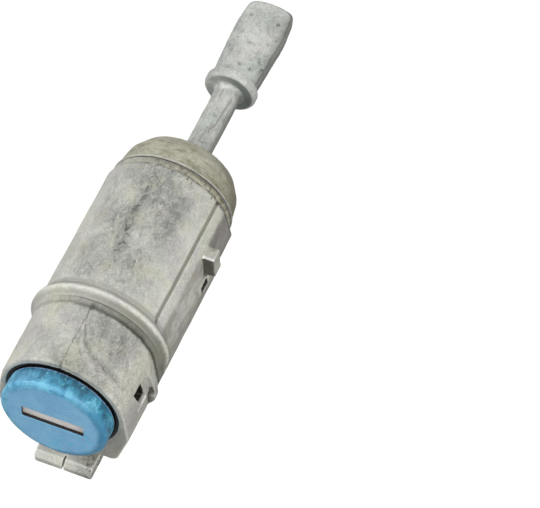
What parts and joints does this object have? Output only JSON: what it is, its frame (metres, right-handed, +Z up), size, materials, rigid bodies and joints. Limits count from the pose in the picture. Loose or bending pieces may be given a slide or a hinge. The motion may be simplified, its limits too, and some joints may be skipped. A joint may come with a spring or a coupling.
{
  "type": "car door lock",
  "caption": "Key-operated door lock cylinder in a cast housing, with a plastic cap over the plug, a sprung shutter behind its slot and a rod tailpiece with a flat paddle.",
  "frame": {"origin": "on the lock's axis, where the crest of the housing's flange begins", "axes": "+Y along the lock's axis from the key side to the tailpiece, +Z up with the collar's foot below, +X to the side with the rail, catch, window and hook"},
  "size_m": [0.0228, 0.0839, 0.0274],
  "materials": {
    "zinc_casting": "matte cast, mottled with grey smears",
    "zinc_passivated": "matte cast with an olive passivation",
    "zinc_bright": "matte cast, pitted",
    "zinc_plug": "machined cast, dull",
    "cap_plastic": "glossy with fine scuffs",
    "seal_rubber": "matte moulded",
    "shutter_steel": "brushed stainless strip",
    "spring_steel": "drawn wire and pressed strip",
    "wafer_brass": "stamped, unpolished"
  },
  "bodies": {
    "housing": {"housing": "zinc_casting", "rear_cap": "zinc_passivated", "front_seal": "seal_rubber", "rear_washer": "spring_steel", "return_spring": "spring_steel"},
    "rotor": {"front_cap": "cap_plastic", "plug": "zinc_plug", "sleeve": "zinc_plug", "retaining_clip": "spring_steel", "shutter_pin": "spring_steel", "shutter_spring": "spring_steel", "wafer_spring_1": "spring_steel", "wafer_spring_2": "spring_steel", "wafer_spring_3": "spring_steel", "wafer_spring_4": "spring_steel", "wafer_spring_5": "spring_steel", "wafer_spring_6": "spring_steel", "wafer_spring_7": "spring_steel", "wafer_spring_8": "spring_steel"},
    "tail": {"driver": "zinc_plug", "cross_pin": "spring_steel", "tailpiece": "zinc_bright"},
    "shutter": {"shutter_flap": "shutter_steel"},
    "wafer_1": {"wafer_1": "wafer_brass"},
    "wafer_2": {"wafer_2": "wafer_brass"},
    "wafer_3": {"wafer_3": "wafer_brass"},
    "wafer_4": {"wafer_4": "wafer_brass"},
    "wafer_5": {"wafer_5": "wafer_brass"},
    "wafer_6": {"wafer_6": "wafer_brass"},
    "wafer_7": {"wafer_7": "wafer_brass"},
    "wafer_8": {"wafer_8": "wafer_brass"}
  },
  "joints": [
    {"name": "plug_turn", "type": "hinge", "parent": "housing", "child": "rotor", "pos_m": [0, 0, 0], "axis": [0, 1, 0], "range_deg": [-60, 60], "stiffness_Nm_per_rad": 0.02, "deforming": ["return_spring"]},
    {"name": "tail_turn", "type": "hinge", "parent": "housing", "child": "tail", "pos_m": [0, 0, 0], "axis": [0, 1, 0], "range_deg": [-60, 60]},
    {"name": "shutter_swing", "type": "hinge", "parent": "rotor", "child": "shutter", "pos_m": [0, -0.01531, 0.0024], "axis": [1, 0, 0], "range_deg": [0, 85], "stiffness_Nm_per_rad": 0.00003, "deforming": ["shutter_spring"]},
    {"name": "wafer_1_slide", "type": "slide", "parent": "rotor", "child": "wafer_1", "axis": [-1, 0, 0], "range_m": [0, 0.0009], "stiffness_N_per_m": 20, "deforming": ["wafer_spring_1"]},
    {"name": "wafer_2_slide", "type": "slide", "parent": "rotor", "child": "wafer_2", "axis": [1, 0, 0], "range_m": [0, 0.0009], "stiffness_N_per_m": 20, "deforming": ["wafer_spring_2"]},
    {"name": "wafer_3_slide", "type": "slide", "parent": "rotor", "child": "wafer_3", "axis": [-1, 0, 0], "range_m": [0, 0.0009], "stiffness_N_per_m": 20, "deforming": ["wafer_spring_3"]},
    {"name": "wafer_4_slide", "type": "slide", "parent": "rotor", "child": "wafer_4", "axis": [1, 0, 0], "range_m": [0, 0.0009], "stiffness_N_per_m": 20, "deforming": ["wafer_spring_4"]},
    {"name": "wafer_5_slide", "type": "slide", "parent": "rotor", "child": "wafer_5", "axis": [-1, 0, 0], "range_m": [0, 0.0009], "stiffness_N_per_m": 20, "deforming": ["wafer_spring_5"]},
    {"name": "wafer_6_slide", "type": "slide", "parent": "rotor", "child": "wafer_6", "axis": [1, 0, 0], "range_m": [0, 0.0009], "stiffness_N_per_m": 20, "deforming": ["wafer_spring_6"]},
    {"name": "wafer_7_slide", "type": "slide", "parent": "rotor", "child": "wafer_7", "axis": [-1, 0, 0], "range_m": [0, 0.0009], "stiffness_N_per_m": 20, "deforming": ["wafer_spring_7"]},
    {"name": "wafer_8_slide", "type": "slide", "parent": "rotor", "child": "wafer_8", "axis": [1, 0, 0], "range_m": [0, 0.0009], "stiffness_N_per_m": 20, "deforming": ["wafer_spring_8"]}
  ],
  "couplings": [
    {"joint": "tail_turn", "follows": "plug_turn", "ratio": 1}
  ]
}
